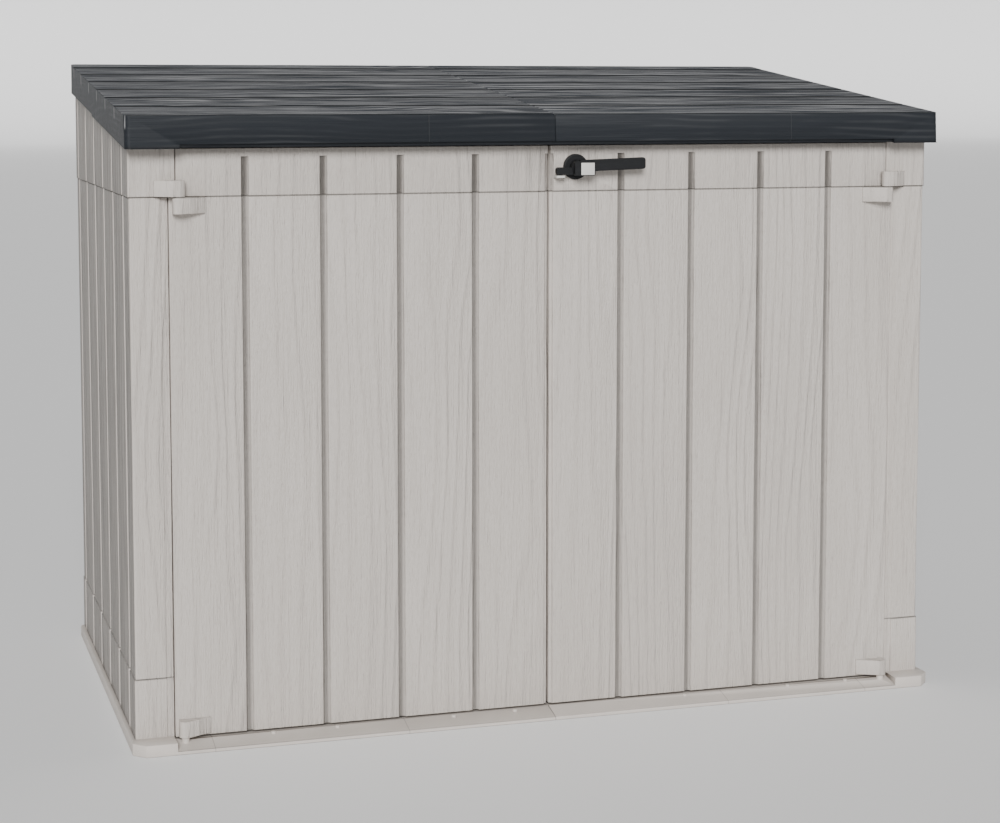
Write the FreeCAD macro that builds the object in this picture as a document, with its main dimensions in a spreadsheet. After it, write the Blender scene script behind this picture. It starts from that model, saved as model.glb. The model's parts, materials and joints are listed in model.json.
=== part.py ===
import FreeCAD, Part
import os
import re
import Sketcher
from FreeCAD import Placement, Rotation, Vector

# Outdoor storage box of moulded resin, in millimetres.
# X runs across the doors, -Y is the door side, +Z is up.
# The origin is on the ground, under the middle of the floor tray.

SIZES = {
    # overall
    "base_width": 1455,
    "base_depth": 840,
    "lid_front_height": 1050,
    "lid_slope": 6.24,
    # floor tray
    "rim_height": 20,
    "rim_reach": 8,
    "front_reach": 42.5,
    "corner_cut": 20,
    "floor_top": 12,
    "floor_skin": 4,
    "floor_rib": 6,
    "ramp_lip": 6,
    "ramp_drop": 5,
    "pad_length": 72,
    "stop_height": 12,
    "stop_thickness": 6,
    "anchor_radius": 4.5,
    "anchor_inset_x": 130,
    "anchor_inset_y": 130,
    # walls
    "wall_depth": 26,
    "wall_skin": 4,
    "wall_rib": 4,
    "middle_recess": 1.5,
    "post_width": 66.5,
    "post_strip": 12,
    "strip_recess": 3,
    "top_strip_recess": 0.5,
    "skirt_top": 119,
    "seam_height": 917,
    "back_inset": 12,
    "back_depth": 24,
    "batten_width": 60,
    "batten_thickness": 4,
    "corner_radius": 4,
    # planks: the grooves between the boards
    "groove_width": 13,
    "groove_floor": 9,
    "groove_depth": 5.5,
    "groove_back": 8,
    "door_pitch": 131.8,
    "side_pitch": 135,
    "side_first": 74.5,
    "groove_head": 14,
    # doors
    "door_depth": 24,
    "door_top": 996,
    "door_lift": 17.5,
    "door_gap": 4,
    "edge_gap": 1.5,
    "rebate_width": 6,
    "rail_below": 32,
    "rail_above": 28,
    "rail_thickness": 3,
    # door hinges
    "hinge_inset": 14.5,
    "hinge_stand": 12,
    "knuckle_radius": 10.5,
    "knuckle_height": 27,
    "knuckle_foot": 39,
    "door_foot": 44,
    "foot_step": 3.5,
    "knuckle_gap": 0.5,
    "pin_radius": 4,
    "pin_clearance": 0.3,
    "boss_radius": 6.5,
    # handle and latch
    "handle_centre": 47,
    "handle_height": 959,
    "plate_radius": 22,
    "plate_thickness": 6,
    "hub_radius": 12,
    "hub_gap": 0.5,
    "lever_length": 120,
    "lever_low": 8,
    "lever_high": 12,
    "lever_lift": 4,
    "lever_thickness": 9,
    "lever_stand": 14,
    "root_left": 10,
    "root_right": 27,
    "root_low": 14.5,
    "root_high": 10,
    "root_step": 2,
    "tail_length": 39,
    "tail_low": 13,
    "tail_high": 0.5,
    "tail_front": 12,
    "tail_depth": 10,
    "cap_start": 1,
    "cap_width": 24,
    "cap_low": 13.4,
    "cap_height": 20.8,
    "cap_thickness": 1.2,
    "spindle_radius": 5,
    "spindle_clearance": 0.4,
    "cam_length": 68,
    "cam_width": 18,
    "cam_thickness": 4,
    "cam_stand": 7,
    "cam_tail": 11,
    "nut_radius": 8.5,
    "nut_height": 5,
    "lug_drop": 14.6,
    "lug_thickness": 3.5,
    "lug_width": 16,
    "lug_reach": 19,
    "eye_inset": 8,
    "eye_radius": 3.5,
    "keeper_inset": 3,
    "keeper_width": 14,
    "keeper_drop": 16,
    "keeper_margin": 6,
    "keeper_thickness": 5,
    # drop bolt
    "bolt_inset": 30,
    "bolt_radius": 5,
    "bolt_stand": 8.5,
    "bolt_rest": 28,
    "bolt_length": 130,
    "grip_height": 10,
    "grip_reach": 14,
    "guide_height": 14,
    "guide_wall": 5,
    "guide_clearance": 0.4,
    # lid
    "lid_setback": 10.5,
    "lid_back_gap": 1,
    "lid_skin": 5,
    "lid_gap": 3,
    "fascia_thickness": 3,
    "fascia_front": 54,
    "fascia_back": 56,
    "fascia_step": 5,
    "fascia_step_place": 466,
    "fascia_flare": 3,
    "fascia_relief": 7.5,
    "relief_inset": 2,
    "lip_depth": 3,
    "lip_rise": 8,
    "lid_first": 133,
    "lid_pitch": 127,
    "lap_depth": 3,
    "lap_width": 8,
    "lid_corner": 10,
    "lid_rib": 4,
    "lid_rib_depth": 16,
    "lid_rib_pitch": 110,
    "strip_width": 60,
    "strip_thickness": 3,
    # lid hinges
    "lid_hinge_drop": 9,
    "lid_knuckle": 7.5,
    "lid_knuckle_length": 24,
    "leaf_thickness": 2.5,
    "leaf_height": 45,
    "lid_pin": 3,
    "outer_hinge": 560,
    "inner_hinge": 200,
    # gas struts
    "strut_arm": 400,
    "strut_apex": 60,
    "strut_dip": 3,
    "strut_inset": 21.5,
    "tube_radius": 9,
    "tube_bore": 4.6,
    "tube_length": 372,
    "rod_radius": 4,
    "rod_length": 372,
    "eye_outer": 8,
    "stud_radius": 3.5,
    "bracket_size": 44,
    # screws
    "screw_head": 5,
    "screw_shank": 2,
    "screw_length": 14,
    "screw_head_height": 2.4,
}

doc = FreeCAD.newDocument("storage_box")
sheet = doc.addObject("Spreadsheet::Sheet", "Sizes")
for row, (alias, value) in enumerate(SIZES.items(), start=1):
    sheet.set(f"A{row}", alias)
    sheet.set(f"B{row}", str(value))
    sheet.setAlias(f"B{row}", alias)
doc.recompute()


def bind(text):
    """An expression on the sheet's aliases, as the document reads it."""
    return re.sub(r"[a-z_]+", lambda word: "Sizes." + word[0] if word[0] in SIZES else word[0], str(text))


def amount(text):
    """The present value of such an expression."""
    return float(sheet.evalExpression(bind(text)))


# Planes and lines that the pieces share
WALL_X = "(base_width / 2 - rim_reach)"
FACE_Y = "(front_reach - base_depth / 2)"
BACK_Y = "(base_depth / 2 - rim_reach)"
PANEL_Y = f"({BACK_Y} - back_inset)"
PANEL_INNER_Y = f"({PANEL_Y} - back_depth)"
INNER_X = f"({WALL_X} - wall_depth)"
DOOR_X = f"({WALL_X} - post_width)"
POST_X = f"({DOOR_X} + edge_gap)"
DOOR_BACK_Y = f"({FACE_Y} + door_depth)"
HINGE_X = f"({DOOR_X} - hinge_inset)"
HINGE_Y = f"({FACE_Y} - hinge_stand)"
RAIL_BOTTOM = "(seam_height - rail_below)"
RAIL_TOP = "(seam_height + rail_above)"
LID_FRONT_Y = "(lid_setback - base_depth / 2)"
LID_BACK_Y = "(base_depth / 2 - lid_back_gap)"
LID_X = "(base_width / 2 - 0.5)"
# how far a door's back corner reaches behind its hinge as the door swings
DOOR_SWING = "sqrt((hinge_stand + door_depth)^2 + hinge_inset^2)"
PIVOT_Y = f"({PANEL_Y} + lid_knuckle + 2)"


def lid_top(y):
    return f"(lid_front_height + (({y}) - {LID_FRONT_Y}) * tan(lid_slope))"


def under_lid(y):
    return f"({lid_top(y)} - lid_skin)"


def wall_top(y):
    return f"({under_lid(y)} - lid_gap)"


PIVOT_Z = f"({lid_top(LID_BACK_Y)} - fascia_back - lid_hinge_drop)"
LUG_Z = "(handle_height - lug_drop)"
HUB_BACK = f"({FACE_Y} - plate_thickness - hub_gap)"
LEVER_BACK = f"({HUB_BACK} - lever_stand)"
LEVER_FRONT = f"({LEVER_BACK} - lever_thickness)"
EYE_X = "(handle_centre - tail_length + eye_inset)"
EYE_Y = f"({HUB_BACK} - tail_front + tail_depth / 2)"
SIDES = (("left", -1), ("right", 1))


# ---------------------------------------------------------------- building tools
def new_body(label):
    body = doc.addObject("PartDesign::Body", label)
    body.Label = label
    return body


def origin_item(body, role):
    for item in body.Origin.OriginFeatures:
        if item.Role == role:
            return item


def draw(body, plane, level, outlines=(), circles=()):
    """A sketch on one of the body's own planes, raised by level along that plane's normal."""
    drawing = body.newObject("Sketcher::SketchObject", body.Label + "_sketch")
    drawing.AttachmentSupport = [(origin_item(body, plane), "")]
    drawing.MapMode = "FlatFace"
    drawing.setExpression("AttachmentOffset.Base.z", bind(level))
    rules = []
    bindings = []
    start = 0

    def fix(kind, *where, size):
        bindings.append((len(rules), size))
        rules.append(Sketcher.Constraint(kind, *where, amount(size)))

    for outline in outlines:
        corners = [Vector(amount(x), amount(y), 0) for x, y in outline]
        count = len(corners)
        for place, corner in enumerate(corners):
            drawing.addGeometry(Part.LineSegment(corner, corners[(place + 1) % count]), False)
        for place, (x, y) in enumerate(outline):
            following = start + (place + 1) % count
            rules.append(Sketcher.Constraint("Coincident", start + place, 2, following, 1))
            fix("DistanceX", -1, 1, start + place, 1, size=x)
            fix("DistanceY", -1, 1, start + place, 1, size=y)
        start += count
    for x, y, radius in circles:
        centre = Vector(amount(x), amount(y), 0)
        drawing.addGeometry(Part.Circle(centre, Vector(0, 0, 1), amount(radius)), False)
        fix("DistanceX", -1, 1, start, 3, size=x)
        fix("DistanceY", -1, 1, start, 3, size=y)
        fix("Radius", start, size=radius)
        start += 1
    drawing.addConstraint(rules)
    for place, size in bindings:
        drawing.setExpression(f"Constraints[{place}]", bind(size))
    drawing.Visibility = False
    return drawing


def extrude(body, kind, drawing, length, backwards):
    before = body.Shape.Volume if body.Tip and kind == "Pocket" else 0
    feature = body.newObject("PartDesign::" + kind, body.Label + "_" + kind.lower())
    feature.Profile = drawing
    feature.setExpression("Length", bind(length))
    feature.Reversed = backwards
    doc.recompute()
    if kind == "Pocket" and not body.Shape.Volume < before - 1e-3:
        raise ValueError(f"{body.Label}: a pocket removed nothing")
    return feature


def pad(body, drawing, length, backwards=False):
    return extrude(body, "Pad", drawing, length, backwards)


def pocket(body, drawing, length, backwards=False):
    """A pocket runs against its sketch's normal unless it is backwards."""
    return extrude(body, "Pocket", drawing, length, backwards)


def repeat(body, feature, axis, pitch, count, backwards):
    """Repeats a feature along one of the body's axes."""
    pattern = body.newObject("PartDesign::LinearPattern", body.Label + "_pattern")
    pattern.Originals = [feature]
    pattern.Direction = (origin_item(body, axis), [""])
    pattern.Mode = "Spacing"
    pattern.setExpression("Offset", bind(pitch))
    pattern.Occurrences = count
    pattern.Reversed = backwards
    body.Tip = pattern
    doc.recompute()
    return pattern


def round_edges(body, radius, wanted):
    """Fillets the edges of the body's present shape that wanted() accepts."""
    doc.recompute()
    base = body.Tip
    names = [f"Edge{i}" for i, edge in enumerate(base.Shape.Edges, start=1) if wanted(edge)]
    if not names:
        raise ValueError(f"{body.Label}: no edge to round")
    fillet = body.newObject("PartDesign::Fillet", body.Label + "_fillet")
    fillet.Base = (base, names)
    fillet.setExpression("Radius", bind(radius))
    doc.recompute()
    if not fillet.isValid():
        raise ValueError(f"{body.Label}: a fillet of {radius} failed")
    return fillet


def upright_at(x, y):
    """Accepts vertical edges that stand at a place."""
    place = Vector(amount(x), amount(y), 0)

    def wanted(edge):
        middle = edge.CenterOfMass
        box = edge.BoundBox
        flat = box.XLength < 0.01 and box.YLength < 0.01
        return flat and Vector(middle.x, middle.y, 0).distanceToPoint(place) < 0.05

    return wanted


def rectangle(x0, x1, y0, y1):
    return [(x0, y0), (x1, y0), (x1, y1), (x0, y1)]


def fitting(span, pitch):
    """How many whole pitches fit in a span."""
    return int(amount(span) // amount(pitch))


def door_grooves():
    return fitting(f"({DOOR_X} - post_strip - groove_back - 2 * wall_rib)", "door_pitch")


def lid_planks():
    return fitting(f"({LID_BACK_Y} - {LID_FRONT_Y} - lid_first - 2 * fascia_flare)", "lid_pitch") + 1


def times(sign, text):
    return f"({sign} * {text})"


def shares(span, rib, count):
    """The size of each of count equal cells with ribs between them, and the step to the next."""
    step = f"(({span} + {rib}) / {count})"
    return f"({step} - {rib})", step


def cells(body, plane, level, low, size, steps, counts, depth, axis, backwards, way=1):
    """A grid of pockets that leaves ribs between them.

    low is the first cell's corner and size its two sides along the plane's axes, steps the way to
    the next column and row, counts the columns and rows, axis the body's axis that the columns
    follow, and way the direction along it.
    """
    right = f"({low[0]} + {way} * {size[0]})"
    column = []
    for row in range(counts[1]):
        bottom = f"({low[1]} + {row} * {steps[1]})"
        column.append(rectangle(low[0], right, bottom, f"({bottom} + {size[1]})"))
    feature = pocket(body, draw(body, plane, level, column), depth, backwards)
    if counts[0] > 1:
        repeat(body, feature, axis, steps[0], counts[0], way < 0)


def solid_group(label, shapes):
    """Several loose pieces of one kind, kept as separate solids in one node."""
    group = doc.addObject("Part::Feature", label)
    group.Label = label
    group.Shape = Part.makeCompound(shapes)
    return group


def screw(place, direction):
    """A pan-head screw whose head's underside is at place, driven along direction."""
    shank = Part.makeCylinder(amount("screw_shank"), amount("screw_length"), place, direction)
    head_place = place - direction * amount("screw_head_height")
    head = Part.makeCylinder(amount("screw_head"), amount("screw_head_height"), head_place, direction)
    rim = [edge for edge in head.Edges if edge.CenterOfMass.distanceToPoint(head_place) < 0.01]
    head = head.makeFillet(amount("screw_head_height") / 2, rim)
    return head.fuse(shank).removeSplitter()


# ---------------------------------------------------------------- floor tray
def make_floor(name, side):
    body = new_body("floor_" + name)
    outline = [
        ("0", "-base_depth / 2"),
        (times(side, "(base_width / 2 - corner_cut)"), "-base_depth / 2"),
        (times(side, "(base_width / 2)"), "corner_cut - base_depth / 2"),
        (times(side, "(base_width / 2)"), "base_depth / 2 - corner_cut"),
        (times(side, "(base_width / 2 - corner_cut)"), "base_depth / 2"),
        ("0", "base_depth / 2"),
    ]
    pad(body, draw(body, "XY_Plane", "0", [outline]), "rim_height")
    # the tray that the walls stand in
    tray = rectangle("0", times(side, WALL_X), FACE_Y, BACK_Y)
    pocket(body, draw(body, "XY_Plane", "rim_height", [tray]), "rim_height - floor_top")
    # the ramp before the doors
    ramp = [
        ("-base_depth / 2 - 1", "ramp_lip"),
        ("-base_depth / 2 + 2", "ramp_lip"),
        (FACE_Y, "rim_height - ramp_drop"),
        (FACE_Y, "rim_height + 1"),
        ("-base_depth / 2 - 1", "rim_height + 1"),
    ]
    pocket(body, draw(body, "YZ_Plane", "0", [ramp]), "base_width / 2 - pad_length", backwards=side > 0)
    # the stop that the doors close against
    stop_y = f"({HINGE_Y} + {DOOR_SWING} + 1)"
    stop = rectangle(
        times(side, "(bolt_inset * 2)"),
        times(side, f"({POST_X} - 5)"),
        stop_y,
        f"({stop_y} + stop_thickness)",
    )
    pad(body, draw(body, "XY_Plane", "floor_top", [stop]), "stop_height")
    # the boss of the door's lower hinge pin
    boss = (times(side, HINGE_X), HINGE_Y, "boss_radius")
    boss_top = "door_lift + 3.5 - knuckle_gap"
    pad(body, draw(body, "XY_Plane", "ramp_lip", circles=[boss]), f"{boss_top} - ramp_lip")
    socket = (times(side, HINGE_X), HINGE_Y, "pin_radius")
    pocket(body, draw(body, "XY_Plane", boss_top, circles=[socket]), f"{boss_top} - floor_skin")
    # ribs underneath
    width, step_x = shares(f"({WALL_X} - 2 * floor_rib)", "floor_rib", 6)
    length, step_y = shares(f"({BACK_Y} - {FACE_Y} - 2 * floor_rib)", "floor_rib", 7)
    low = (times(side, "floor_rib"), f"({FACE_Y} + floor_rib)")
    cells(body, "XY_Plane", "0", low, (width, length), (step_x, step_y), (6, 7),
          "floor_top - floor_skin", "X_Axis", True, side)
    # holes for ground anchors, and on the left the hole that takes the drop bolt
    holes = [
        (times(side, f"({WALL_X} - anchor_inset_x)"), f"({FACE_Y} + anchor_inset_y)", "anchor_radius"),
        (times(side, f"({WALL_X} - anchor_inset_x)"), f"({BACK_Y} - anchor_inset_y)", "anchor_radius"),
    ]
    if name == "left":
        holes.append(("-bolt_inset", f"({DOOR_BACK_Y} + bolt_stand)", "bolt_radius + 1"))
    pocket(body, draw(body, "XY_Plane", "floor_top", circles=holes), "floor_top")


# ---------------------------------------------------------------- walls
def make_side(name, side, level, bottom, top, recess):
    """One board of a side wall with its corner post and its rear return."""
    body = new_body(f"side_{level}_{name}")
    outer = f"({WALL_X} - {recess})"
    face = f"({FACE_Y} + {recess})"
    # the top board's post reaches further in, to the door's shorter top strip
    post = f"({POST_X} - post_strip)" if level == "upper" else POST_X
    strip = "top_strip_recess" if level == "upper" else "strip_recess"
    plan = [
        (times(side, outer), face),
        (times(side, outer), BACK_Y),
        (times(side, INNER_X), BACK_Y),
        (times(side, INNER_X), DOOR_BACK_Y),
        (times(side, post), DOOR_BACK_Y),
        (times(side, post), f"({FACE_Y} + {strip})"),
        (times(side, f"({POST_X} + post_strip)"), f"({FACE_Y} + {strip})"),
        (times(side, f"({POST_X} + post_strip)"), face),
    ]
    pad(body, draw(body, "XY_Plane", bottom, [plan]), f"{top} - ({bottom})")
    if level == "upper":
        # the sloping top edge under the lid
        wedge = [
            (f"{FACE_Y} - 1", wall_top(f"{FACE_Y} - 1")),
            (f"{BACK_Y} + 1", wall_top(f"{BACK_Y} + 1")),
            (f"{BACK_Y} + 1", f"{top} + 1"),
            (f"{FACE_Y} - 1", f"{top} + 1"),
        ]
        wide = draw(body, "YZ_Plane", times(side, f"({WALL_X} + 1)"), [wedge])
        pocket(body, wide, "post_width + post_strip + 2", backwards=side < 0)
    # open cells behind the outer skin, with the ribs behind the grooves
    rows = 4 if level == "middle" else 1
    height = f"({top} - ({bottom}) - 2 * wall_rib)"
    if level == "upper":
        height = f"({wall_top(DOOR_BACK_Y)} - ({bottom}) - 3 * wall_rib)"
    cell_height, step_z = shares(height, "wall_rib", rows)
    first = f"({FACE_Y} + side_first)"
    planks = fitting(f"({BACK_Y} - {first} - groove_back - 2 * wall_rib)", "side_pitch")
    last = f"({first} + {planks} * side_pitch)"
    columns = (
        (f"({first} + groove_back)", "(side_pitch - 2 * groove_back)", planks),
        (f"({DOOR_BACK_Y} + wall_rib)", f"({first} - groove_back - {DOOR_BACK_Y} - wall_rib)", 1),
        (f"({last} + groove_back)", f"({BACK_Y} - wall_rib - {last} - groove_back)", 1),
    )
    for start, width, count in columns:
        cells(body, "YZ_Plane", times(side, INNER_X), (start, f"({bottom} + wall_rib)"),
              (width, cell_height), ("side_pitch", step_z), (count, rows),
              "wall_depth - wall_skin - middle_recess", "Y_Axis", side > 0)
    # the grooves between the planks
    groove = [
        (times(side, f"({outer} + 1)"), f"{first} - groove_width / 2"),
        (times(side, outer), f"{first} - groove_width / 2"),
        (times(side, f"({outer} - groove_depth)"), f"{first} - groove_floor / 2"),
        (times(side, f"({outer} - groove_depth)"), f"{first} + groove_floor / 2"),
        (times(side, outer), f"{first} + groove_width / 2"),
        (times(side, f"({outer} + 1)"), f"{first} + groove_width / 2"),
    ]
    cut = pocket(body, draw(body, "XY_Plane", bottom, [groove]), f"{top} - ({bottom})", backwards=True)
    repeat(body, cut, "Y_Axis", "side_pitch", planks + 1, False)
    if level == "upper":
        make_fixed_knuckle(body, side)
    round_edges(body, "corner_radius", upright_at(times(side, outer), face))
    return body


def make_fixed_knuckle(body, side):
    """The upper half of the door's top hinge, on the corner post."""
    base = "seam_height + knuckle_gap"
    x = HINGE_X
    front = f"({HINGE_Y} - knuckle_radius)"
    behind = f"({FACE_Y} - edge_gap)"
    wedge = [
        (times(side, x), front),
        (times(side, f"({x} + knuckle_radius)"), front),
        (times(side, f"({x} + knuckle_foot)"), f"({FACE_Y} - foot_step)"),
        (times(side, f"({x} + knuckle_foot)"), f"({FACE_Y} + strip_recess)"),
        (times(side, POST_X), f"({FACE_Y} + strip_recess)"),
        (times(side, POST_X), behind),
        (times(side, x), behind),
    ]
    pad(body, draw(body, "XY_Plane", base, [wedge]), "knuckle_height")
    barrel = draw(body, "XY_Plane", base, circles=[(times(side, x), HINGE_Y, "knuckle_radius")])
    pad(body, barrel, "knuckle_height")
    bore = draw(body, "XY_Plane", base, circles=[(times(side, x), HINGE_Y, "pin_radius")])
    pocket(body, bore, "knuckle_height - wall_skin", backwards=True)


def make_back_panel(name, side):
    body = new_body("back_panel_" + name)
    plate = rectangle("0", times(side, INNER_X), PANEL_INNER_Y, PANEL_Y)
    top = wall_top(PANEL_INNER_Y)
    pad(body, draw(body, "XY_Plane", "floor_top", [plate]), f"{top} - floor_top")
    cell_height, step_z = shares(f"({top} - floor_top - 2 * wall_rib)", "wall_rib", 5)
    grooves = fitting(f"({INNER_X} - groove_back - wall_rib)", "door_pitch")
    columns = (
        ("(batten_width / 2 + wall_rib)", "(door_pitch - groove_back - batten_width / 2 - wall_rib)", 1),
        ("(door_pitch + groove_back)", "(door_pitch - 2 * groove_back)", grooves - 1),
    )
    for start, width, count in columns:
        cells(body, "XZ_Plane", f"-{PANEL_INNER_Y}", (times(side, start), "(floor_top + wall_rib)"),
              (width, cell_height), ("door_pitch", step_z), (count, 5),
              "back_depth - wall_skin", "X_Axis", False, side)
    cut_door_grooves(body, side, PANEL_Y, 1, "floor_top", f"{top} - floor_top", grooves)


def cut_door_grooves(body, side, face, outward, bottom, height, count):
    """Upright grooves at the front planks' pitch, on a face whose outward way is +Y or -Y."""
    middle = times(side, "door_pitch")
    deep = f"({face} - {outward} * groove_depth)"
    clear = f"({face} + {outward})"
    groove = [
        (f"{middle} - groove_width / 2", clear),
        (f"{middle} - groove_width / 2", face),
        (f"{middle} - groove_floor / 2", deep),
        (f"{middle} + groove_floor / 2", deep),
        (f"{middle} + groove_width / 2", face),
        (f"{middle} + groove_width / 2", clear),
    ]
    cut = pocket(body, draw(body, "XY_Plane", bottom, [groove]), height, backwards=True)
    repeat(body, cut, "X_Axis", "door_pitch", count, side < 0)


def make_back_batten():
    body = new_body("back_batten")
    plate = rectangle(
        "-batten_width / 2",
        "batten_width / 2",
        f"({PANEL_INNER_Y} - batten_thickness)",
        PANEL_INNER_Y,
    )
    top = wall_top(f"{PANEL_INNER_Y} - batten_thickness")
    pad(body, draw(body, "XY_Plane", "floor_top + 30", [plate]), f"{top} - lid_rib_depth - floor_top - 34")
    cell_edge = upright_at("batten_width / 2", f"{PANEL_INNER_Y} - batten_thickness")
    round_edges(body, "batten_thickness / 2", cell_edge)


# ---------------------------------------------------------------- doors
def cut_rebate(body, side, bottom, height):
    """The stepped edge where the two doors meet."""
    step = [
        (times(side, "(door_gap / 2 - 1)"), f"({FACE_Y} - 1)"),
        (times(side, "(door_gap / 2 - 1)"), f"({FACE_Y} + groove_depth)"),
        (times(side, "(door_gap / 2 + rebate_width - 2)"), f"({FACE_Y} + groove_depth)"),
        (times(side, "(door_gap / 2 + rebate_width)"), FACE_Y),
        (times(side, "(door_gap / 2 + rebate_width)"), f"({FACE_Y} - 1)"),
    ]
    pocket(body, draw(body, "XY_Plane", bottom, [step]), height, backwards=True)


def door_columns(edge):
    """The cells behind a door's planks: start, width and count of the whole ones and of the last."""
    last = f"({door_grooves()} * door_pitch + groove_back)"
    return (
        ("groove_back", "(door_pitch - 2 * groove_back)", door_grooves()),
        (last, f"({edge} - wall_rib - {last})", 1),
    )


def make_door_lower(name, side):
    body = new_body("door_lower_" + name)
    leaf = rectangle(times(side, "(door_gap / 2)"), times(side, DOOR_X), FACE_Y, DOOR_BACK_Y)
    height = "(seam_height - door_lift)"
    pad(body, draw(body, "XY_Plane", "door_lift", [leaf]), height)
    cell_height, step_z = shares(f"({RAIL_BOTTOM} - door_lift - 2 * wall_rib)", "wall_rib", 4)
    for start, width, count in door_columns(DOOR_X):
        cells(body, "XZ_Plane", f"-{DOOR_BACK_Y}", (times(side, start), "(door_lift + wall_rib)"),
              (width, cell_height), ("door_pitch", step_z), (count, 4),
              "door_depth - wall_skin", "X_Axis", True, side)
    cut_door_grooves(body, side, FACE_Y, -1, "door_lift", height, door_grooves())
    cut_rebate(body, side, "door_lift", height)
    # two hinge knuckles: a barrel, a wedge to the door's face and a heel towards its edge
    x = HINGE_X
    front = f"({HINGE_Y} - knuckle_radius)"
    wedge = [
        (times(side, x), front),
        (times(side, f"({x} - 6)"), front),
        (times(side, f"({x} - door_foot)"), f"({FACE_Y} - foot_step)"),
        (times(side, f"({x} - door_foot)"), f"({FACE_Y} + 1)"),
        (times(side, f"({x} + knuckle_radius - 1)"), f"({FACE_Y} + 1)"),
        (times(side, f"({x} + knuckle_radius - 1)"), HINGE_Y),
        (times(side, x), HINGE_Y),
    ]
    for base in ("(door_lift + 3.5)", "(seam_height - knuckle_height)"):
        pad(body, draw(body, "XY_Plane", base, [wedge]), "knuckle_height")
        barrel = draw(body, "XY_Plane", base, circles=[(times(side, x), HINGE_Y, "knuckle_radius")])
        pad(body, barrel, "knuckle_height")
    bore = (times(side, x), HINGE_Y, "pin_radius + pin_clearance")
    low = draw(body, "XY_Plane", "door_lift", circles=[bore])
    pocket(body, low, "knuckle_height", backwards=True)
    high = draw(body, "XY_Plane", "seam_height", circles=[bore])
    pocket(body, high, "knuckle_height - wall_skin")


def make_door_upper(name, side):
    body = new_body("door_upper_" + name)
    leaf = rectangle(
        times(side, "(door_gap / 2)"), times(side, f"({DOOR_X} - post_strip)"), FACE_Y, DOOR_BACK_Y
    )
    pad(body, draw(body, "XY_Plane", "seam_height", [leaf]), "door_top - seam_height")
    for start, width, count in door_columns(f"({DOOR_X} - post_strip)"):
        cells(body, "XZ_Plane", f"-{DOOR_BACK_Y}", (times(side, start), f"({RAIL_TOP} + wall_rib)"),
              (width, f"(door_top - {RAIL_TOP} - 2 * wall_rib)"), ("door_pitch", "0"), (count, 1),
              "door_depth - wall_skin", "X_Axis", True, side)
    height = "(door_top - groove_head - seam_height)"
    cut_door_grooves(body, side, FACE_Y, -1, "seam_height", height, door_grooves())
    cut_rebate(body, side, "seam_height", height)
    if name == "right":
        hole = ("handle_centre", "handle_height", "spindle_radius + spindle_clearance")
        drill = draw(body, "XZ_Plane", f"-{DOOR_BACK_Y}", circles=[hole])
        pocket(body, drill, "door_depth", backwards=True)


def make_door_rail(name, side):
    """The flat rail that ties a door's two mouldings, inside."""
    body = new_body("door_rail_" + name)
    plate = rectangle(
        times(side, "(door_gap / 2 + 18)"), times(side, f"({DOOR_X} - 30)"), RAIL_BOTTOM, RAIL_TOP
    )
    drawing = draw(body, "XZ_Plane", f"-({DOOR_BACK_Y} + rail_thickness)", [plate])
    pad(body, drawing, "rail_thickness")


def make_door_screws(name, side):
    spots = []
    for column in range(door_grooves() + 1):
        across = amount("door_pitch") * (column + 0.5)
        for height in (amount(RAIL_BOTTOM) + 12, amount(RAIL_TOP) - 12):
            place = Vector(side * across, amount(f"{DOOR_BACK_Y} + rail_thickness"), height)
            spots.append(screw(place, Vector(0, -1, 0)))
    solid_group("door_screws_" + name, spots)


def make_door_hinge_pins():
    pins = []
    for _, side in SIDES:
        place = Vector(side * amount(HINGE_X), amount(HINGE_Y), 0)
        low = Vector(place.x, place.y, amount("floor_skin"))
        length = amount("door_lift + knuckle_height - floor_skin")
        pins.append(Part.makeCylinder(amount("pin_radius"), length, low))
        high = Vector(place.x, place.y, amount("seam_height - knuckle_height + wall_skin + 1"))
        length = amount("2 * knuckle_height + knuckle_gap - 2 * wall_skin - 1")
        pins.append(Part.makeCylinder(amount("pin_radius"), length, high))
    solid_group("door_hinge_pins", pins)


# ---------------------------------------------------------------- handle and latch
def make_escutcheon():
    body = new_body("escutcheon")
    shaft_hole = ("handle_centre", "handle_height", "spindle_radius + spindle_clearance")
    disc = ("handle_centre", "handle_height", "plate_radius")
    pad(body, draw(body, "XZ_Plane", f"-{FACE_Y}", circles=[disc, shaft_hole]), "plate_thickness")
    front = amount(f"{FACE_Y} - plate_thickness")

    def outer_rim(edge):
        return abs(edge.CenterOfMass.y - front) < 0.01 and edge.Length > 6 * amount("plate_radius")

    round_edges(body, "plate_thickness / 3", outer_rim)


def along_y(edge):
    """Accepts straight edges that run from front to back."""
    return edge.BoundBox.XLength < 0.01 and edge.BoundBox.ZLength < 0.01


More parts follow.
